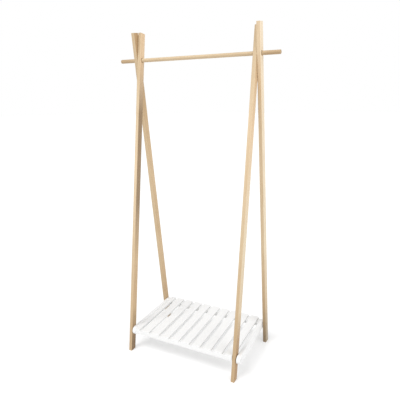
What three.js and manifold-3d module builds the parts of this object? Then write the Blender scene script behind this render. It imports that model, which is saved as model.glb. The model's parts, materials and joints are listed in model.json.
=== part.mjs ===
// Freestanding clothes rack: two crossed-leg wooden end frames, a round hanging rod through both
// crossings and a white slatted shoe shelf low down between the frames.
// Millimetres, +Z up, +X from the left frame to the right frame, the front faces -Y.
// Origin: on the floor, midway between the two frames and midway between front and rear feet.
import * as THREE from 'three';
import { mergeVertices } from 'three/addons/utils/BufferGeometryUtils.js';
import Module from 'manifold-3d';

// ---- driving dimensions ----
const LEG_TOPS = {             // height of each leg's upper end, on its middle line
  left_front: 1605,
  left_rear: 1605,
  right_front: 1592,
  right_rear: 1603,
};
const ROD_HEIGHT = 1480;       // rod axis, where the two legs of a frame cross
const FOOT_SPREAD = 376;       // between the middles of a front and a rear foot
const LEG_THICK = 18;          // leg section across the frame
const LEG_WIDE = 32;           // leg section in the plane of the frame
const LEG_EDGE = 1.2;          // chamfer along the leg edges
const LEG_GAP = 0.4;           // air between the two legs of a frame
const LEFT_FRAME_X = -298;     // plane between the two legs of the left frame
const RIGHT_FRAME_X = 304;     // the same for the right frame
const LEFT_TURN = 3.05;        // degrees a frame is turned in plan, so that its legs stand on
const RIGHT_TURN = 3.6;        // both sides of, or both against, its shelf rail

const ROD_LENGTH = 806;
const ROD_RADIUS = 9;
const ROD_CHAMFER = 2.5;
const ROD_HOLE_RADIUS = 9.8;

const RAIL_THICK = 18;
const RAIL_HIGH = 42;
const RAIL_LONG = 386;
const RAIL_AXIS_Z = 111;       // middle of the rails, also the height of the four screws
const RAIL_LEFT_X = -287.6;    // outer face of the left rail, inside both left legs
const RAIL_RIGHT_X = 313.4;    // outer face of the right rail, outside the right front leg
const RAIL_EDGE = 1.5;

const BATTEN_HIGH = 20;        // cross battens under the slat ends
const BATTEN_FRONT_WIDE = 30;
const BATTEN_FRONT_Y = -173;
const BATTEN_REAR_WIDE = 44;
const BATTEN_REAR_Y = 174;
const BATTEN_TOP_Z = 121;
const BATTEN_EDGE = 1;
const SLAT_COUNT = 10;
const SLAT_FRONT_Y = -190;     // slat ends: nearly flush with the front batten, and well
const SLAT_REAR_Y = 200;       // beyond the rear one
const SLAT_THICK = 8;
const SLAT_GAP = 16;
const FIRST_GAP_X = -238;      // middle of the gap beside the first slat, which closes on its rail
const SLAT_EDGE = 0.8;
const JOIN_GAP = 0.3;          // paint and glue line between shelf pieces
const LEG_CLEARANCE = 1.2;     // air round the right front leg where the shelf is cut back

const SCREW_RADIUS = 2.5;
const SCREW_LONG = 62;
const HEAD_RADIUS = 5;
const HEAD_HIGH = 3;
const HEAD_RIM = 0.4;          // straight edge of the countersunk head
const HEAD_SUNK = 0.8;         // depth of the head below the face it is driven into
const SOCKET_RADIUS = 2.2;     // hexagon socket, centre to corner
const SOCKET_DEEP = 1.8;
const SCREW_CLEARANCE = 0.6;
const ROUND_SEGMENTS = 24;

// ---- derived sizes ----
const LEAN = Math.atan2(FOOT_SPREAD / 2, ROD_HEIGHT);
const FRAMES = {
  left: { x: LEFT_FRAME_X, turn: THREE.MathUtils.degToRad(LEFT_TURN) },
  right: { x: RIGHT_FRAME_X, turn: THREE.MathUtils.degToRad(RIGHT_TURN) },
};
const LEG_OFFSET = (LEG_THICK + LEG_GAP) / 2;
const SCREW_SPREAD = FOOT_SPREAD / 2 * (1 - RAIL_AXIS_Z / ROD_HEIGHT);
const RAIL_LEFT_INNER = RAIL_LEFT_X + RAIL_THICK;
const RAIL_RIGHT_INNER = RAIL_RIGHT_X - RAIL_THICK;
const BETWEEN_RAILS = RAIL_RIGHT_INNER - RAIL_LEFT_INNER;
const SLAT_PITCH = (RAIL_RIGHT_INNER - SLAT_GAP / 2 - FIRST_GAP_X) / (SLAT_COUNT - 1);

// ---- materials ----
function surface(colour, roughness, metalness) {
  return new THREE.MeshStandardMaterial({ color: colour, roughness, metalness });
}
const NATURAL_WOOD = surface(0xd6b98c, 0.55, 0);
const WHITE_PAINT = surface(0xf2f2f0, 0.5, 0);
const YELLOW_ZINC = surface(0xc9a85c, 0.35, 0.9);

// ---- solid modelling helpers ----
const wasm = await Module();
wasm.setup();

function solid(geometry) {
  const bare = geometry.clone();
  bare.deleteAttribute('normal');
  bare.deleteAttribute('uv');
  const welded = mergeVertices(bare, 1e-4);
  return new wasm.Manifold(new wasm.Mesh({
    numProp: 3,
    vertProperties: new Float32Array(welded.attributes.position.array),
    triVerts: new Uint32Array(welded.index.array),
  }));
}

const rack = new THREE.Group();
rack.name = 'clothes_rack';

function keep(name, shape, material) {
  const data = shape.getMesh();
  const geometry = new THREE.BufferGeometry();
  geometry.setAttribute('position', new THREE.BufferAttribute(data.vertProperties, 3));
  geometry.setIndex(new THREE.BufferAttribute(data.triVerts, 1));
  geometry.computeVertexNormals();
  const mesh = new THREE.Mesh(geometry, material);
  mesh.name = name;
  rack.add(mesh);
}

// A chamfered plate: the outline is flat and the thickness grows both ways from its plane.
function plate(outline, thick, edge) {
  const geometry = new THREE.ExtrudeGeometry(outline, {
    depth: thick - 2 * edge,
    bevelEnabled: edge > 0,
    bevelThickness: edge,
    bevelSize: edge,
    bevelOffset: -edge,
    bevelSegments: 1,
    curveSegments: ROUND_SEGMENTS / 2,
  });
  geometry.translate(0, 0, -(thick - 2 * edge) / 2);
  return geometry;
}

// Turn a plate whose flat axes are (y, z) so that its thickness lies along X.
function standInFrame(geometry) {
  geometry.applyMatrix4(new THREE.Matrix4().makeBasis(
    new THREE.Vector3(0, 1, 0), new THREE.Vector3(0, 0, 1), new THREE.Vector3(1, 0, 0)));
  return geometry;
}

function rectangle(halfA, halfB) {
  return new THREE.Shape([
    new THREE.Vector2(-halfA, -halfB), new THREE.Vector2(halfA, -halfB),
    new THREE.Vector2(halfA, halfB), new THREE.Vector2(-halfA, halfB),
  ]);
}

// A box from two opposite corners.
function block(low, high) {
  const size = high.clone().sub(low);
  const geometry = new THREE.BoxGeometry(size.x, size.y, size.z);
  geometry.translate((low.x + high.x) / 2, (low.y + high.y) / 2, (low.z + high.z) / 2);
  return solid(geometry);
}

// A round bar along X with chamfered ends.
function barAlongX(radius, length, chamfer) {
  const half = length / 2;
  const geometry = new THREE.LatheGeometry([
    new THREE.Vector2(0, -half),
    new THREE.Vector2(radius - chamfer, -half),
    new THREE.Vector2(radius, -half + chamfer),
    new THREE.Vector2(radius, half - chamfer),
    new THREE.Vector2(radius - chamfer, half),
    new THREE.Vector2(0, half),
  ], ROUND_SEGMENTS);
  geometry.rotateZ(-Math.PI / 2);
  return geometry;
}

// ---- shelf screws ----
// seatX is the face the screw is driven into; outward is the side that face looks to: +1 is +X.
// extra widens the profile all round, which turns the screw into its own clearance hole.
function screwBody(seatX, side, outward, extra) {
  const top = -HEAD_SUNK + extra * 4;
  const rim = -HEAD_SUNK - HEAD_RIM;
  const neck = -HEAD_SUNK - HEAD_HIGH;
  const end = neck - SCREW_LONG;
  const geometry = new THREE.LatheGeometry([
    new THREE.Vector2(0, end - extra),
    new THREE.Vector2(SCREW_RADIUS * 0.3 + extra, end - extra),
    new THREE.Vector2(SCREW_RADIUS + extra, end + 2 * SCREW_RADIUS),
    new THREE.Vector2(SCREW_RADIUS + extra, neck - extra),
    new THREE.Vector2(HEAD_RADIUS + extra, rim - extra),
    new THREE.Vector2(HEAD_RADIUS + extra, top),
    new THREE.Vector2(0, top),
  ], ROUND_SEGMENTS);
  geometry.rotateZ(-outward * Math.PI / 2);
  geometry.translate(seatX, side * SCREW_SPREAD, RAIL_AXIS_Z);
  return solid(geometry);
}

function screw(name, seatX, side, outward, material) {
  const socket = new THREE.CylinderGeometry(SOCKET_RADIUS, SOCKET_RADIUS, 2 * SOCKET_DEEP, 6);
  socket.rotateZ(Math.PI / 2);
  socket.translate(seatX - outward * HEAD_SUNK, side * SCREW_SPREAD, RAIL_AXIS_Z);
  keep(name, screwBody(seatX, side, outward, 0).subtract(solid(socket)), material);
}

// Where a leg's face crosses the line of its screw; offset is the face's distance from the
// plane between the frame's two legs.
function faceAt(frame, side, offset) {
  return frame.x + offset / Math.cos(frame.turn) + side * SCREW_SPREAD * Math.tan(frame.turn);
}
const OUTER_FACE = LEG_THICK + LEG_GAP / 2;
const SEATS = {
  left_front: { x: faceAt(FRAMES.left, -1, LEG_GAP / 2), side: -1, outward: -1 },
  left_rear: { x: faceAt(FRAMES.left, 1, -OUTER_FACE), side: 1, outward: -1 },
  right_front: { x: RAIL_RIGHT_X, side: -1, outward: 1 },
  right_rear: { x: faceAt(FRAMES.right, 1, OUTER_FACE), side: 1, outward: 1 },
};

function screwHole(corner) {
  const seat = SEATS[corner];
  return screwBody(seat.x, seat.side, seat.outward, SCREW_CLEARANCE);
}

// ---- legs ----
// side: -1 for a front foot, +1 for a rear foot. Foot cut flat on the floor, top cut square.
function legOutline(side, topHeight) {
  const along = new THREE.Vector2(-side * Math.sin(LEAN), Math.cos(LEAN));
  const across = new THREE.Vector2(Math.cos(LEAN), side * Math.sin(LEAN));
  const aboveRod = (topHeight - ROD_HEIGHT) / Math.cos(LEAN);
  const top = new THREE.Vector2(0, ROD_HEIGHT).addScaledVector(along, aboveRod);
  const topFront = top.clone().addScaledVector(across, -LEG_WIDE / 2);
  const topRear = top.clone().addScaledVector(across, LEG_WIDE / 2);
  const footAt = (corner) => corner.clone().addScaledVector(along, -corner.y / along.y);
  return new THREE.Shape([footAt(topFront), footAt(topRear), topRear, topFront]);
}

// offset: the leg's middle plane, measured from the plane between the two legs of its frame.
function leg(corner, frame, side, offset) {
  const outline = legOutline(side, LEG_TOPS[corner]);
  const geometry = standInFrame(plate(outline, LEG_THICK, LEG_EDGE));
  geometry.translate(offset, 0, 0);
  geometry.rotateZ(-frame.turn);
  geometry.translate(frame.x, 0, 0);
  const bore = barAlongX(ROD_HOLE_RADIUS, ROD_LENGTH, 0.5);
  bore.translate(0, 0, ROD_HEIGHT);
  keep('leg_' + corner, solid(geometry).subtract(solid(bore)).subtract(screwHole(corner)), NATURAL_WOOD);
}
// In each frame the leg with the front foot is the inner one, the other the outer one.
leg('left_front', FRAMES.left, -1, LEG_OFFSET);
leg('left_rear', FRAMES.left, 1, -LEG_OFFSET);
leg('right_front', FRAMES.right, -1, -LEG_OFFSET);
leg('right_rear', FRAMES.right, 1, LEG_OFFSET);

// ---- hanging rod ----
function hangingRod() {
  const geometry = barAlongX(ROD_RADIUS, ROD_LENGTH, ROD_CHAMFER);
  geometry.translate(0, 0, ROD_HEIGHT);
  keep('hanging_rod', solid(geometry), NATURAL_WOOD);
}
hangingRod();

// ---- shelf side rails, with half-round ends ----
function rail(name, middleX, corners) {
  const radius = RAIL_HIGH / 2;
  const straight = RAIL_LONG / 2 - radius;
  const outline = new THREE.Shape();
  outline.absarc(straight, RAIL_AXIS_Z, radius, -Math.PI / 2, Math.PI / 2, false);
  outline.absarc(-straight, RAIL_AXIS_Z, radius, Math.PI / 2, Math.PI * 3 / 2, false);
  const geometry = standInFrame(plate(outline, RAIL_THICK, RAIL_EDGE));
  geometry.translate(middleX, 0, 0);
  const drilled = solid(geometry).subtract(screwHole(corners[0])).subtract(screwHole(corners[1]));
  keep(name, drilled, WHITE_PAINT);
}
rail('shelf_rail_left', RAIL_LEFT_X + RAIL_THICK / 2, ['left_front', 'left_rear']);
rail('shelf_rail_right', RAIL_RIGHT_X - RAIL_THICK / 2, ['right_front', 'right_rear']);

// ---- space kept free round the right front leg ----
function legRoom() {
  const frame = FRAMES.right;
  const halfDepth = LEG_WIDE / 2 / Math.cos(LEAN) + RAIL_HIGH / 2 * Math.tan(LEAN) + LEG_CLEARANCE;
  const innerFace = frame.x - OUTER_FACE / Math.cos(frame.turn);
  const lowX = innerFace - (SCREW_SPREAD + halfDepth) * Math.tan(frame.turn) - LEG_CLEARANCE;
  const low = new THREE.Vector3(lowX, 2 * SLAT_FRONT_Y, 0);
  const high = new THREE.Vector3(RAIL_RIGHT_X, -SCREW_SPREAD + halfDepth, 2 * RAIL_AXIS_Z);
  return block(low, high);
}
const LEG_ROOM = legRoom();

// ---- cross battens, rail to rail under the slat ends ----
function batten(name, middleY, wide, corners) {
  const long = BETWEEN_RAILS - 2 * JOIN_GAP;
  const outline = rectangle(wide / 2, BATTEN_HIGH / 2);
  const geometry = standInFrame(plate(outline, long, BATTEN_EDGE));
  const middleX = (RAIL_LEFT_INNER + RAIL_RIGHT_INNER) / 2;
  geometry.translate(middleX, middleY, BATTEN_TOP_Z - BATTEN_HIGH / 2);
  const drilled = solid(geometry).subtract(screwHole(corners[0])).subtract(screwHole(corners[1]));
  keep(name, drilled.subtract(LEG_ROOM), WHITE_PAINT);
}
batten('shelf_batten_front', BATTEN_FRONT_Y, BATTEN_FRONT_WIDE, ['left_front', 'right_front']);
batten('shelf_batten_rear', BATTEN_REAR_Y, BATTEN_REAR_WIDE, ['left_rear', 'right_rear']);

// ---- slats, front to rear across both battens ----
// The first slat is narrower and closes on the left rail; the last is cut back round the leg.
function slat(number) {
  const toX = FIRST_GAP_X + (number - 1) * SLAT_PITCH - SLAT_GAP / 2;
  const fromX = number === 1 ? RAIL_LEFT_INNER + JOIN_GAP : toX - SLAT_PITCH + SLAT_GAP;
  const outline = rectangle((toX - fromX) / 2, (SLAT_REAR_Y - SLAT_FRONT_Y) / 2);
  const geometry = plate(outline, SLAT_THICK, SLAT_EDGE);
  const middleY = (SLAT_FRONT_Y + SLAT_REAR_Y) / 2;
  geometry.translate((fromX + toX) / 2, middleY, BATTEN_TOP_Z + JOIN_GAP + SLAT_THICK / 2);
  const whole = solid(geometry);
  keep('slat_' + number, number === SLAT_COUNT ? whole.subtract(LEG_ROOM) : whole, WHITE_PAINT);
}
for (let number = 1; number <= SLAT_COUNT; number += 1) {
  slat(number);
}

// ---- the four screws that hold the shelf in the frames ----
for (const [corner, seat] of Object.entries(SEATS)) {
  const colour = corner === 'right_front' ? WHITE_PAINT : YELLOW_ZINC;
  screw('screw_' + corner, seat.x, seat.side, seat.outward, colour);
}

export default rack;
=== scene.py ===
"""Looks for the clothes rack: pale wooden end frames and rod, white painted slatted shelf.

Metres, +Z up, the front on -Y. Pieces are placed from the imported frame's boxes, mounts and
joint; only the last slat's notch is given here.
"""

import json
import math
import random

import bmesh
import bpy
from mathutils import Matrix, Vector


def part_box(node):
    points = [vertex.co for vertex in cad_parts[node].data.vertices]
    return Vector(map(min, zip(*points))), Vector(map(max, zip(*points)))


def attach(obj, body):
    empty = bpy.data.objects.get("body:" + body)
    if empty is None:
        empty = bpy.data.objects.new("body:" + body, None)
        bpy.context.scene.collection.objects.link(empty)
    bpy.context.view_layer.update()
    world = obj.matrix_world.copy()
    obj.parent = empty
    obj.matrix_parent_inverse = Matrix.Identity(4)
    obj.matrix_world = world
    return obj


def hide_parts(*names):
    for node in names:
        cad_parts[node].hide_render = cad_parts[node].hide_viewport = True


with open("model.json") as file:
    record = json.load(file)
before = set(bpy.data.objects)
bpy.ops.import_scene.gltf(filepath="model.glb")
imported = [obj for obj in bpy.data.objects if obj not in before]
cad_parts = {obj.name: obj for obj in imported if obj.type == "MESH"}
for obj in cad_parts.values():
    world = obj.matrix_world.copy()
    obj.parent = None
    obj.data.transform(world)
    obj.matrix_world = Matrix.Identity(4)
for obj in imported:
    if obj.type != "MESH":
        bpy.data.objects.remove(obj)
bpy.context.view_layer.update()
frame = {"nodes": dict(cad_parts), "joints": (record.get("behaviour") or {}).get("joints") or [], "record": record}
MOUNTS = {mount["name"]: Vector(mount["pos_m"]) for mount in frame["record"]["mounts"]}
ROD_AXIS = Vector(frame["joints"][0]["pos_m"])
SIDES = ("left", "right")
ENDS = ("front", "rear")

# ---- sizes of the rounded pieces, in metres ----
LEG_THICK = 0.018
LEG_WIDE = 0.032
LEG_GAP = 0.0004           # air between the two legs of a frame
LEG_ROUND = 0.0022
BORE_RADIUS = 0.0098       # the rod's holes in the legs
SCREW_BORE_RADIUS = 0.0056
ROD_RADIUS = 0.009
ROD_END_ROUND = 0.0035
RAIL_ROUND = 0.0014
BATTEN_ROUND = 0.0004
SLAT_COUNT = 10
SLAT_ROUND = 0.0007
SLAT_UNEVEN = 0.0006       # how unevenly the slats are sawn off
PAINT_BRIDGE = 0.0006      # paint closes the joint between a slat and its batten
NOTCH_REAR_Y = -0.1538     # the last slat is cut back to here, round the right front leg

# ---- how finely round shapes are divided ----
ROUND_STEPS = 3
BORE_SIDES = 40
SCREW_BORE_SIDES = 24
RAIL_END_STEPS = 24
ROD_SIDES = 64
ROD_END_STEPS = 6
ROD_STRETCHES = 12         # sections of half the rod's length
SHARP_ANGLE = math.radians(40)
MERGE_DISTANCE = 1e-6
NORMAL_WEIGHT = 80

# ---- camera: place in metres, angles in degrees ----
CAMERA_AT = (0.8578, -1.6954, 1.2867)
CAMERA_YAW = 26.21
CAMERA_PITCH = 14.08
CAMERA_ROLL = -0.62
CAMERA_REACH = 100
FOCAL_PIXELS = 394.64
IMAGE_PIXELS = 400
SENSOR_MM = 36

# ---- light: directions towards each lamp, widths in degrees ----
KEY_FROM = (-0.2, -0.6, 1.0)
KEY_STRENGTH = 1.85
KEY_WIDTH = 28
FILL_FROM = (1.0, -0.3, 0.6)
FILL_STRENGTH = 1.25
FILL_WIDTH = 50
WORLD_LIGHT = 0.6          # how strongly the white surroundings light the rack
WORLD_SEEN = 1.0           # how bright they look in the picture
FLOOR_RADIUS = 40
FLOOR_SIDES = 64
FLOOR_GREY = 0.6
FLOOR_GLOW = 0.34          # lifts the floor to the backdrop's white


def make_camera():
    angles = (CAMERA_YAW, CAMERA_PITCH, CAMERA_ROLL)
    yaw, pitch, roll = (math.radians(angle) for angle in angles)
    forward = Vector((
        -math.sin(yaw) * math.cos(pitch),
        math.cos(yaw) * math.cos(pitch),
        -math.sin(pitch),
    ))
    level = forward.cross(Vector((0, 0, 1))).normalized()
    upright = level.cross(forward)
    right = level * math.cos(roll) + upright * math.sin(roll)
    up = upright * math.cos(roll) - level * math.sin(roll)
    data = bpy.data.cameras.new("camera")
    data.sensor_width = SENSOR_MM
    data.lens = SENSOR_MM * FOCAL_PIXELS / IMAGE_PIXELS
    data.clip_end = CAMERA_REACH
    camera = bpy.data.objects.new("camera", data)
    turned = Matrix((right, up, -forward)).transposed().to_4x4()
    camera.matrix_world = Matrix.Translation(CAMERA_AT) @ turned
    bpy.context.collection.objects.link(camera)
    bpy.context.scene.camera = camera


make_camera()


# ---- node helpers ----
def grey(level):
    return (level, level, level)


class Nodes:
    """Builds one material's node tree with short calls."""

    def __init__(self, name):
        self.material = bpy.data.materials.new(name)
        self.material.use_nodes = True
        self.tree = self.material.node_tree
        self.shader = self.tree.nodes["Principled BSDF"]

    def add(self, kind, **settings):
        node = self.tree.nodes.new("ShaderNode" + kind)
        for key, value in settings.items():
            setattr(node, key, value)
        return node

    def link(self, source, target):
        self.tree.links.new(source, target)

    def plug(self, slot, value):
        """Give a socket a number, a colour or another node's output."""
        if isinstance(value, (int, float)):
            slot.default_value = value
        elif isinstance(value, tuple):
            slot.default_value = (*value, 1)
        else:
            self.link(value, slot)

    def number(self, operation, first, second, clamp=False):
        node = self.add("Math", operation=operation, use_clamp=clamp)
        self.plug(node.inputs[0], first)
        self.plug(node.inputs[1], second)
        return node.outputs[0]

    def times(self, first, second, clamp=False):
        return self.number("MULTIPLY", first, second, clamp)

    def plus(self, first, second):
        return self.number("ADD", first, second)

    def minus(self, first, second):
        return self.number("SUBTRACT", first, second)

    def place(self):
        """The point in the piece's own axes."""
        return self.add("TexCoord").outputs["Object"]

    def part(self, vector, axis):
        node = self.add("SeparateXYZ")
        self.link(vector, node.inputs[0])
        return node.outputs[axis]

    def mapped(self, scale, offset=None):
        """The piece's own coordinates, stretched by scale and shifted by offset."""
        mapping = self.add("Mapping")
        self.link(self.place(), mapping.inputs["Vector"])
        mapping.inputs["Scale"].default_value = scale
        if offset is not None:
            self.link(offset, mapping.inputs["Location"])
        return mapping.outputs["Vector"]

    def piece_offset(self, spread):
        """A shift that differs from piece to piece, so that no two show the same grain."""
        chance = self.add("ObjectInfo").outputs["Random"]
        joined = self.add("CombineXYZ")
        for slot, factor in zip(joined.inputs, (spread, spread * 0.7, spread * 1.3)):
            self.link(self.times(chance, factor), slot)
        return joined.outputs[0]

    def noise(self, vector, detail, scale=1.0, distortion=0.0):
        node = self.add("TexNoise")
        self.link(vector, node.inputs["Vector"])
        node.inputs["Scale"].default_value = scale
        node.inputs["Detail"].default_value = detail
        node.inputs["Roughness"].default_value = NOISE_ROUGHNESS
        node.inputs["Distortion"].default_value = distortion
        return node.outputs["Fac"]

    def ramp(self, factor, stops):
        node = self.add("ValToRGB")
        self.link(factor, node.inputs["Fac"])
        elements = node.color_ramp.elements
        while len(elements) < len(stops):
            elements.new(0.5)
        for element, (position, colour) in zip(elements, stops):
            element.position = position
            element.color = (*colour, 1)
        return node.outputs["Color"]

    def mix(self, factor, first, second, blend="MIX"):
        node = self.add("Mix", data_type="RGBA", blend_type=blend)
        self.plug(node.inputs["Factor"], factor)
        self.plug(node.inputs["A"], first)
        self.plug(node.inputs["B"], second)
        return node.outputs["Result"]

    def tinted(self, colour, tint):
        return self.mix(1.0, colour, tint, "MULTIPLY")

    def rough(self, pattern, spread, least):
        self.link(self.plus(self.times(pattern, spread), least), self.shader.inputs["Roughness"])

    def bump(self, height, strength, distance):
        node = self.add("Bump")
        node.inputs["Strength"].default_value = strength
        node.inputs["Distance"].default_value = distance
        self.link(height, node.inputs["Height"])
        self.link(node.outputs["Normal"], self.shader.inputs["Normal"])

    def edge(self):
        """1 on the middle of a rounded edge, 0 on the flats; see mark_edges."""
        return self.add("Attribute", attribute_name="edge").outputs["Fac"]


# ---- wood ----
EARLY_WOOD = (0.62, 0.52, 0.36)
MIDDLE_WOOD = (0.56, 0.445, 0.29)
LATE_WOOD = (0.47, 0.34, 0.20)
FLECK_WOOD = (0.36, 0.24, 0.13)
RUBBED_WOOD = (0.68, 0.58, 0.43)

# Timber is not one colour. Each stick runs through a few of these tones along its length, darker at the feet as
# painted shade near the floor, and the faces turned to +X get painted light and shade of their own. They multiply
# the wood's colour.
# the darkest tone: painted shade at the feet and down the shaded +X face of the left front leg
DEEP_SHADE_TONE = (0.45, 0.40, 0.35)
# a darker tan tone, used as painted shade at the feet and also for the darker rod stubs
TAN_AND_SHADE_TONE = (0.80, 0.70, 0.60)
PLAIN = (1.00, 0.95, 0.90)
PALE = (1.20, 1.15, 1.15)
# the palest tone: painted light on the faces of the right legs turned to +X
SIDE_LIGHT_TONE = (1.20, 1.30, 1.45)
TONE_ROOM = 2.0            # a colour ramp holds tones up to 1, so they pass it divided by this

# (metres up the stick from the rod, tone)
FACE_TONES = {
    "left_front": [(-1.45, TAN_AND_SHADE_TONE), (-1.0, PLAIN), (-0.5, PALE), (0.05, PLAIN)],
    "left_rear": [(-1.45, TAN_AND_SHADE_TONE), (-1.0, PLAIN), (0.05, PLAIN)],
    "right_front": [(-1.45, TAN_AND_SHADE_TONE), (-0.8, PLAIN), (-0.3, PALE), (0.05, PLAIN)],
    "right_rear": [(-1.45, DEEP_SHADE_TONE), (-1.25, TAN_AND_SHADE_TONE), (-0.9, PLAIN), (0.05, PALE)],
}
# multiplied with the face tone on the sides turned to +X: painted light and shade, lighter on the right legs,
# darker down the left front leg
SIDE_LIGHT_AND_SHADE = {
    "left_front": [(-1.45, DEEP_SHADE_TONE), (-1.25, PLAIN), (-1.0, PLAIN), (-0.7, DEEP_SHADE_TONE),
                   (-0.25, DEEP_SHADE_TONE), (0.0, PALE)],
    "left_rear": [(-1.3, PLAIN), (-0.3, PLAIN), (0.05, TAN_AND_SHADE_TONE)],
    "right_front": [(-1.3, TAN_AND_SHADE_TONE), (-1.15, SIDE_LIGHT_TONE), (-0.8, SIDE_LIGHT_TONE), (-0.3, PLAIN)],
    "right_rear": [(-1.3, SIDE_LIGHT_TONE), (0.05, SIDE_LIGHT_TONE)],
}
# (metres along the rod from its middle, tone): the stubs outside the frames are darker
ROD_TONES = [(-0.35, TAN_AND_SHADE_TONE), (-0.3, PLAIN), (0.3, PLAIN), (0.35, TAN_AND_SHADE_TONE)]

# patterns per metre: across, across, along the grain
BEND_FINENESS = (9, 9, 0.9)
LAYER_FINENESS = (150, 95, 2.1)
DRIFT_FINENESS = (6, 6, 2.3)
PORE_FINENESS = (900, 900, 26)
FIBRE_FINENESS = (1400, 1400, 9)
WEAR_FINENESS = (60, 60, 12)
NOISE_ROUGHNESS = 0.55
WOOD_SPREAD = 7.3          # how far apart two sticks lie in the patterns
RINGS = 9.0                # growth rings from one end of the bending noise to the other
RING_RIPPLE = 0.9
RING_STRENGTH = 0.55
WOOD_EVENNESS = 0.45       # share of the middle tone laid over the rings
PORE_DARKNESS = 0.35
WOOD_RUBBING = 0.5
SIDE_FROM = 0.35           # a face counts as a side from this much turned to +X
SIDE_BLEND = 2.5           # and changes over this fast


def along_tint(m, tones):
    """Tint that changes along the stick's own Z."""
    low, high = tones[0][0], tones[-1][0]
    share = m.number("DIVIDE", m.minus(m.part(m.place(), "Z"), low), high - low, clamp=True)
    stops = []
    for at, tone in tones:
        stops.append(((at - low) / (high - low), tuple(level / TONE_ROOM for level in tone)))
    return m.tinted(m.ramp(share, stops), grey(TONE_ROOM))


def painted_side_shading(m, tint, side_shading):
    """The stick's tint, with painted light and shade on the faces turned to +X."""
    facing = m.part(m.add("TexCoord").outputs["Normal"], "X")
    on_side = m.times(m.minus(facing, SIDE_FROM), SIDE_BLEND, clamp=True)
    return m.mix(on_side, tint, m.tinted(tint, along_tint(m, side_shading)))


def growth_rings(m, offset):
    """Stretched, gently bent layers cut nearly along the length."""
    bent = m.noise(m.mapped(BEND_FINENESS, offset), 2, scale=1.6)
    layers = m.noise(m.mapped(LAYER_FINENESS, offset), 3, distortion=0.35)
    depth = m.plus(m.times(bent, RINGS), m.times(layers, RING_RIPPLE))
    ring = m.add("Math", operation="FRACT")
    m.link(depth, ring.inputs[0])
    shades = [(0.0, grey(0.2)), (0.62, grey(0.4)), (0.9, grey(0.9)), (1.0, grey(0.2))]
    return m.ramp(ring.outputs[0], shades)


def wood_material(name, tones, side_shading=None):
    """Clear-finished pale timber. The grain runs along the piece's own Z."""
    m = Nodes(name)
    offset = m.piece_offset(WOOD_SPREAD)
    tint = along_tint(m, tones)
    # painted light and shade on the faces turned to +X
    if side_shading:
        tint = painted_side_shading(m, tint, side_shading)
    rings = growth_rings(m, offset)
    colour = m.mix(m.times(rings, RING_STRENGTH), EARLY_WOOD, LATE_WOOD)
    colour = m.mix(WOOD_EVENNESS, colour, MIDDLE_WOOD)
    # slow drift of tone
    drift = m.noise(m.mapped(DRIFT_FINENESS, offset), 2)
    colour = m.tinted(colour, m.ramp(drift, [(0.3, (0.94, 0.92, 0.89)), (0.7, (1.05, 1.06, 1.08))]))
    # the tint darkens the feet as painted shade and paints light and shade on the faces turned to +X
    colour = m.tinted(colour, tint)
    # short dark pores and fine fibres
    pores = m.noise(m.mapped(PORE_FINENESS, offset), 2)
    pore_mask = m.ramp(pores, [(0.61, grey(0.0)), (0.7, grey(1.0))])
    colour = m.mix(m.times(pore_mask, PORE_DARKNESS), colour, m.tinted(tint, FLECK_WOOD))
    fibres = m.noise(m.mapped(FIBRE_FINENESS, offset), 3)
    colour = m.tinted(colour, m.ramp(fibres, [(0.3, grey(0.94)), (0.7, grey(1.05))]))
    # rubbed edges
    worn = m.times(m.edge(), m.noise(m.mapped(WEAR_FINENESS, offset), 4), clamp=True)
    colour = m.mix(m.times(worn, WOOD_RUBBING), colour, m.tinted(tint, RUBBED_WOOD))
    m.link(colour, m.shader.inputs["Base Color"])
    m.rough(fibres, 0.16, 0.42)
    m.shader.inputs["Specular IOR Level"].default_value = 0.35
    m.shader.inputs["Coat Weight"].default_value = 0.12
    m.shader.inputs["Coat Roughness"].default_value = 0.45
    relief = m.plus(m.times(fibres, 0.6), m.times(rings, 0.4))
    relief = m.minus(relief, m.times(pore_mask, 0.8))
    m.bump(relief, 0.25, 0.0003)
    return m.material


# ---- paint and screws ----
PAINT_DULL = (0.765, 0.765, 0.76)
PAINT_CLEAN = (0.785, 0.785, 0.783)
PAINT_RUBBED = (0.60, 0.55, 0.47)
STROKE_FINENESS = (700, 700, 7)
FILLED_GRAIN_FINENESS = (160, 160, 3)
CLOUD_FINENESS = (7, 7, 3)
CHIP_FINENESS = (90, 90, 25)
PAINT_SPREAD = 5.1
PAINT_RUBBING = 0.3

ZINC_CLEAN = (0.80, 0.62, 0.30)
ZINC_DULL = (0.52, 0.40, 0.22)
SCREW_PAINT_CLEAN = (0.76, 0.76, 0.755)
SCREW_PAINT_DULL = (0.66, 0.65, 0.63)
PATCH_FINENESS = (300, 300, 300)
TURNING_FINENESS = (200, 2600, 2600)


def paint_material(name):
    """Brushed white satin paint over timber: brush strokes, filled grain, rubbed edges."""
    m = Nodes(name)
    offset = m.piece_offset(PAINT_SPREAD)
    strokes = m.noise(m.mapped(STROKE_FINENESS, offset), 4)
    grain = m.noise(m.mapped(FILLED_GRAIN_FINENESS, offset), 3, distortion=0.3)
    cloud = m.noise(m.mapped(CLOUD_FINENESS, offset), 3)
    colour = m.ramp(cloud, [(0.3, PAINT_DULL), (0.7, PAINT_CLEAN)])
    colour = m.tinted(colour, m.ramp(strokes, [(0.3, grey(0.975)), (0.7, grey(1.015))]))
    chips = m.noise(m.mapped(CHIP_FINENESS, offset), 5)
    worn = m.times(m.edge(), m.ramp(chips, [(0.6, grey(0.0)), (0.72, grey(1.0))]), clamp=True)
    colour = m.mix(m.times(worn, PAINT_RUBBING), colour, PAINT_RUBBED)
    m.link(colour, m.shader.inputs["Base Color"])
    m.rough(strokes, 0.2, 0.34)
    m.shader.inputs["Specular IOR Level"].default_value = 0.4
    m.bump(m.plus(m.times(strokes, 0.5), m.times(grain, 0.5)), 0.08, 0.0003)
    return m.material


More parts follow.
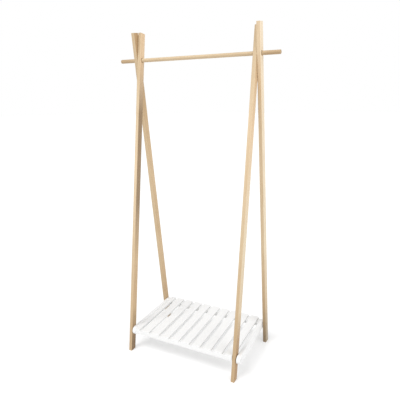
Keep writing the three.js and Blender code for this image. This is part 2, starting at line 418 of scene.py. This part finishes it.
def screw_material(name, clean, dull, metallic):
    """Plated or painted screw: fine turning marks and a duller, patchy film."""
    m = Nodes(name)
    patch = m.noise(m.mapped(PATCH_FINENESS), 4)
    m.link(m.ramp(patch, [(0.35, dull), (0.65, clean)]), m.shader.inputs["Base Color"])
    m.rough(patch, 0.3, 0.22)
    m.shader.inputs["Metallic"].default_value = metallic
    m.bump(m.noise(m.mapped(TURNING_FINENESS), 2), 0.3, 0.0001)
    return m.material


# ---- mesh helpers ----
def outline_curve(rings, half_thick, rounding):
    """A flat outline with holes, thickened both ways and rounded along every edge."""
    curve = bpy.data.curves.new("outline", "CURVE")
    curve.dimensions = "2D"
    curve.fill_mode = "BOTH"
    curve.extrude = half_thick - rounding
    curve.bevel_depth = rounding
    curve.bevel_resolution = ROUND_STEPS
    curve.offset = -rounding
    for ring in rings:
        spline = curve.splines.new("POLY")
        spline.points.add(len(ring) - 1)
        spline.use_cyclic_u = True
        for point, (u, v) in zip(spline.points, ring):
            point.co = (u, v, 0, 1)
    return curve


def board(name, rings, half_thick, rounding, placing):
    """A rounded board. Its own X is the thickness, Y the outline's u, and Z the outline's v,
    along the grain. placing takes these axes to the world."""
    holder = bpy.data.objects.new("holder", outline_curve(rings, half_thick, rounding))
    bpy.context.collection.objects.link(holder)
    bpy.context.view_layer.update()
    depsgraph = bpy.context.evaluated_depsgraph_get()
    flat = bpy.data.meshes.new_from_object(holder.evaluated_get(depsgraph))
    bpy.data.objects.remove(holder, do_unlink=True)
    # outline u, v, thickness -> piece Y, Z, X
    flat.transform(Matrix(((0, 0, 1, 0), (1, 0, 0, 0), (0, 1, 0, 0), (0, 0, 0, 1))))
    mesh = tidy_mesh(flat, name)
    mark_edges(mesh, half_thick, rounding)
    return place_piece(name, mesh, placing)


def place_piece(name, mesh, placing):
    piece = bpy.data.objects.new(name, mesh)
    piece.matrix_world = placing
    bpy.context.collection.objects.link(piece)
    return piece


def tidy_mesh(mesh, name):
    """Merge doubles, turn faces outward, and shade smooth except across sharp corners."""
    bm = bmesh.new()
    bm.from_mesh(mesh)
    bmesh.ops.remove_doubles(bm, verts=bm.verts, dist=MERGE_DISTANCE)
    bmesh.ops.dissolve_degenerate(bm, edges=bm.edges, dist=MERGE_DISTANCE)
    bmesh.ops.recalc_face_normals(bm, faces=bm.faces)
    for face in bm.faces:
        face.smooth = True
        face.material_index = 0
    for edge in bm.edges:
        edge.smooth = edge.calc_face_angle(0) < SHARP_ANGLE
    bm.to_mesh(mesh)
    bm.free()
    mesh.name = name
    mesh.materials.clear()
    return mesh


def mark_edges(mesh, half_thick, rounding):
    """Point attribute that is 1 on the middle of each rounded edge and 0 on the flats."""
    edge = mesh.attributes.new("edge", "FLOAT", "POINT")
    for vertex, value in zip(mesh.vertices, edge.data):
        depth = half_thick - abs(vertex.co.x)
        inside = min(depth, rounding - depth) / (rounding / 2)
        value.value = max(0.0, min(1.0, inside)) if 0 < depth < rounding else 0.0


def dress(piece, material, node, body):
    """Finish a piece, put it on its body and hide the CAD node it stands for."""
    piece.data.materials.append(material)
    # weighted normals keep the flats flat beside the rounded edges
    modifier = piece.modifiers.new("normals", "WEIGHTED_NORMAL")
    modifier.keep_sharp = True
    modifier.weight = NORMAL_WEIGHT
    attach(piece, body)
    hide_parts(node)


def circle(radius, u, v, sides):
    steps = (2 * math.pi * k / sides for k in range(sides))
    return [(u + radius * math.cos(angle), v + radius * math.sin(angle)) for angle in steps]


def rectangle(half_u, half_v):
    return [(-half_u, -half_v), (half_u, -half_v), (half_u, half_v), (-half_u, half_v)]


def axes(x, y, z, origin):
    """The matrix of a piece whose own axes point along x, y and z."""
    placed = Matrix((x, y, z)).transposed().to_4x4()
    placed.translation = origin
    return placed


def middle_and_half(node):
    low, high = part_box(node)
    return (Vector(low) + Vector(high)) / 2, (Vector(high) - Vector(low)) / 2


# ---- materials in use ----
LEG_WOOD = {
    place: wood_material("wood_" + place, FACE_TONES[place], tones)
    for place, tones in SIDE_LIGHT_AND_SHADE.items()
}
ROD_WOOD = wood_material("rod_wood", ROD_TONES)
WHITE_PAINT = paint_material("white_paint")
ZINC = screw_material("yellow_zinc", ZINC_CLEAN, ZINC_DULL, 1.0)
WHITE_SCREW = screw_material("white_screw", SCREW_PAINT_CLEAN, SCREW_PAINT_DULL, 0.0)


# ---- legs ----
def frame_turn(side):
    """Plan angle of an end frame and half the spread of its feet, from its two foot mounts."""
    front, rear = MOUNTS[f"foot_{side}_front"], MOUNTS[f"foot_{side}_rear"]
    spread = (rear - front).xy
    outward = -1 if side == "left" else 1
    apart = outward * (LEG_THICK + LEG_GAP)
    along = math.sqrt(spread.length_squared - apart * apart)
    return math.atan2(apart, along) - math.atan2(spread.x, spread.y), along / 2


def make_leg(side, end):
    node = f"leg_{side}_{end}"
    foot = MOUNTS[f"foot_{side}_{end}"]
    turn, half_spread = frame_turn(side)
    toward = -1 if end == "front" else 1
    lean = math.atan2(half_spread, ROD_AXIS.z)
    plan_x = Vector((math.cos(turn), math.sin(turn), 0))
    plan_y = Vector((-math.sin(turn), math.cos(turn), 0))
    crossing = foot - plan_y * toward * half_spread + Vector((0, 0, ROD_AXIS.z))
    along = Vector((0, 0, math.cos(lean))) - plan_y * toward * math.sin(lean)
    across = plan_y * math.cos(lean) + Vector((0, 0, toward * math.sin(lean)))
    half = LEG_WIDE / 2
    top = (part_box(node)[1][2] - ROD_AXIS.z - half * math.sin(lean)) / math.cos(lean)
    bottom = -ROD_AXIS.z / math.cos(lean)
    slope = toward * half * math.tan(lean)
    rim = [(-half, bottom + slope), (half, bottom - slope), (half, top), (-half, top)]
    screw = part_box(f"screw_{side}_{end}")
    screw_z = (screw[0][2] + screw[1][2]) / 2
    screw_at = -(ROD_AXIS.z - screw_z) / math.cos(lean)
    # The bore is centred on the stick's own middle line. In a frame turned in plan this lies
    # about half a millimetre off the rod's axis, so the rod cuts slightly into the bore.
    bore = circle(BORE_RADIUS, 0, 0, BORE_SIDES)
    screw_bore = circle(SCREW_BORE_RADIUS, 0, screw_at, SCREW_BORE_SIDES)
    placing = axes(plan_x, across, along, crossing)
    leg = board("wood_" + node, [rim, bore, screw_bore], LEG_THICK / 2, LEG_ROUND, placing)
    dress(leg, LEG_WOOD[f"{side}_{end}"], node, "rack")


for side in SIDES:
    for end in ENDS:
        make_leg(side, end)


# ---- rod ----
def rod_profile(half):
    """The rod's half outline from end to end: (radius, place along the rod)."""
    lower = [(0.0, -half)]
    for k in range(ROD_END_STEPS + 1):
        angle = math.pi / 2 * k / ROD_END_STEPS
        radius = ROD_RADIUS - ROD_END_ROUND * (1 - math.sin(angle))
        lower.append((radius, -half + ROD_END_ROUND * (1 - math.cos(angle))))
    lower += [(ROD_RADIUS, -half * (1 - k / ROD_STRETCHES)) for k in range(1, ROD_STRETCHES)]
    upper = [(radius, -along) for radius, along in reversed(lower)]
    return lower + [(ROD_RADIUS, 0.0)] + upper


def make_rod():
    low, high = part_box("hanging_rod")
    bm = bmesh.new()
    profile = rod_profile((high[0] - low[0]) / 2)
    verts = [bm.verts.new((radius, 0, along)) for radius, along in profile]
    for first, second in zip(verts, verts[1:]):
        bm.edges.new((first, second))
    bmesh.ops.spin(bm, geom=bm.verts[:] + bm.edges[:], cent=(0, 0, 0), axis=(0, 0, 1),
                   angle=2 * math.pi, steps=ROD_SIDES, use_merge=True)
    mesh = bpy.data.meshes.new("rod")
    bm.to_mesh(mesh)
    bm.free()
    mesh = tidy_mesh(mesh, "rod")
    # left at 0: a round rod has no edges to rub
    mesh.attributes.new("edge", "FLOAT", "POINT")
    middle = Vector(((low[0] + high[0]) / 2, ROD_AXIS.y, ROD_AXIS.z))
    placing = axes(Vector((0, 0, -1)), Vector((0, 1, 0)), Vector((1, 0, 0)), middle)
    rod = place_piece("wood_hanging_rod", mesh, placing)
    dress(rod, ROD_WOOD, "hanging_rod", "rod")


make_rod()


# ---- shelf ----
def make_rail(side):
    """A side rail with half-round ends and a hole for each of its two screws."""
    node = f"shelf_rail_{side}"
    middle, half = middle_and_half(node)
    radius = half.z
    straight = half.y - radius
    rim = []
    for sign in (1, -1):
        for k in range(RAIL_END_STEPS + 1):
            angle = -math.pi / 2 + math.pi * k / RAIL_END_STEPS
            v = sign * (straight + math.cos(angle) * radius)
            rim.append((sign * math.sin(angle) * radius, v))
    rings = [rim]
    for end in ENDS:
        screw = middle_and_half(f"screw_{side}_{end}")[0]
        u, v = middle.z - screw.z, screw.y - middle.y
        rings.append(circle(SCREW_BORE_RADIUS, u, v, SCREW_BORE_SIDES))
    placing = axes(Vector((1, 0, 0)), Vector((0, 0, -1)), Vector((0, 1, 0)), middle)
    rail = board("painted_" + node, rings, half.x, RAIL_ROUND, placing)
    dress(rail, WHITE_PAINT, node, "rack")


def make_slat(number, chance):
    """One painted slat. Its ends are cut a little unevenly, and it rests on both battens."""
    node = f"slat_{number}"
    low, high = (Vector(corner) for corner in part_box(node))
    batten_low, batten_high = (Vector(corner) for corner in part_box("shelf_batten_front"))
    low.z = batten_high.z - PAINT_BRIDGE
    low.y = batten_low.y + chance.uniform(0, SLAT_UNEVEN)
    high.y -= chance.uniform(0, 2 * SLAT_UNEVEN)
    middle, half = (low + high) / 2, (high - low) / 2
    rim = rectangle(half.x, half.y)
    # a slat that reaches past the front batten stands beside the leg and is cut back round it
    if high.x > batten_high.x:
        notch_x, notch_y = batten_high.x - middle.x, NOTCH_REAR_Y - middle.y
        rim[1:2] = [(notch_x, -half.y), (notch_x, notch_y), (half.x, notch_y)]
    placing = axes(Vector((0, 0, -1)), Vector((1, 0, 0)), Vector((0, 1, 0)), middle)
    slat = board("painted_" + node, [rim], half.z, SLAT_ROUND, placing)
    dress(slat, WHITE_PAINT, node, "rack")


def make_batten(end):
    node = f"shelf_batten_{end}"
    middle, half = middle_and_half(node)
    rim = rectangle(half.y, half.x)
    placing = axes(Vector((0, 0, -1)), Vector((0, 1, 0)), Vector((1, 0, 0)), middle)
    batten = board("painted_" + node, [rim], half.z, BATTEN_ROUND, placing)
    dress(batten, WHITE_PAINT, node, "rack")


for side in SIDES:
    make_rail(side)
slat_chance = random.Random(11)
for number in range(1, SLAT_COUNT + 1):
    make_slat(number, slat_chance)
for end in ENDS:
    make_batten(end)

# the screw in the white rail is painted over with it, the three in the legs are bare
for side in SIDES:
    for end in ENDS:
        screw = frame["nodes"][f"screw_{side}_{end}"]
        screw.data.materials.clear()
        in_rail = (side, end) == ("right", "front")
        screw.data.materials.append(WHITE_SCREW if in_rail else ZINC)


# ---- floor and light ----
def make_floor():
    mesh = bpy.data.meshes.new("floor")
    bm = bmesh.new()
    bmesh.ops.create_circle(bm, cap_ends=True, radius=FLOOR_RADIUS, segments=FLOOR_SIDES)
    bm.to_mesh(mesh)
    bm.free()
    floor = bpy.data.objects.new("floor", mesh)
    bpy.context.collection.objects.link(floor)
    m = Nodes("floor_white")
    m.shader.inputs["Base Color"].default_value = (*grey(FLOOR_GREY), 1)
    m.shader.inputs["Roughness"].default_value = 0.9
    m.shader.inputs["Specular IOR Level"].default_value = 0
    m.shader.inputs["Emission Color"].default_value = (1, 1, 1, 1)
    m.shader.inputs["Emission Strength"].default_value = FLOOR_GLOW
    mesh.materials.append(m.material)


def make_sun(name, toward, strength, width):
    data = bpy.data.lights.new(name, "SUN")
    data.energy = strength
    data.angle = math.radians(width)
    sun = bpy.data.objects.new(name, data)
    sun.rotation_euler = Vector(toward).to_track_quat("Z", "Y").to_euler()
    bpy.context.collection.objects.link(sun)


def make_world():
    """White surroundings, seen brighter than they light the rack."""
    world = bpy.data.worlds.new("studio")
    bpy.context.scene.world = world
    world.use_nodes = True
    tree = world.node_tree
    background = tree.nodes["Background"]
    background.inputs["Color"].default_value = (1, 1, 1, 1)
    shown = tree.nodes.new("ShaderNodeLightPath").outputs["Is Camera Ray"]
    strength = tree.nodes.new("ShaderNodeMapRange")
    strength.inputs["To Min"].default_value = WORLD_LIGHT
    strength.inputs["To Max"].default_value = WORLD_SEEN
    tree.links.new(shown, strength.inputs["Value"])
    tree.links.new(strength.outputs["Result"], background.inputs["Strength"])


make_floor()
make_world()
make_sun("key", KEY_FROM, KEY_STRENGTH, KEY_WIDTH)
make_sun("fill", FILL_FROM, FILL_STRENGTH, FILL_WIDTH)
bpy.context.scene.view_settings.view_transform = "Standard"

# ---- bring the scene up to date ----
bpy.context.view_layer.update()
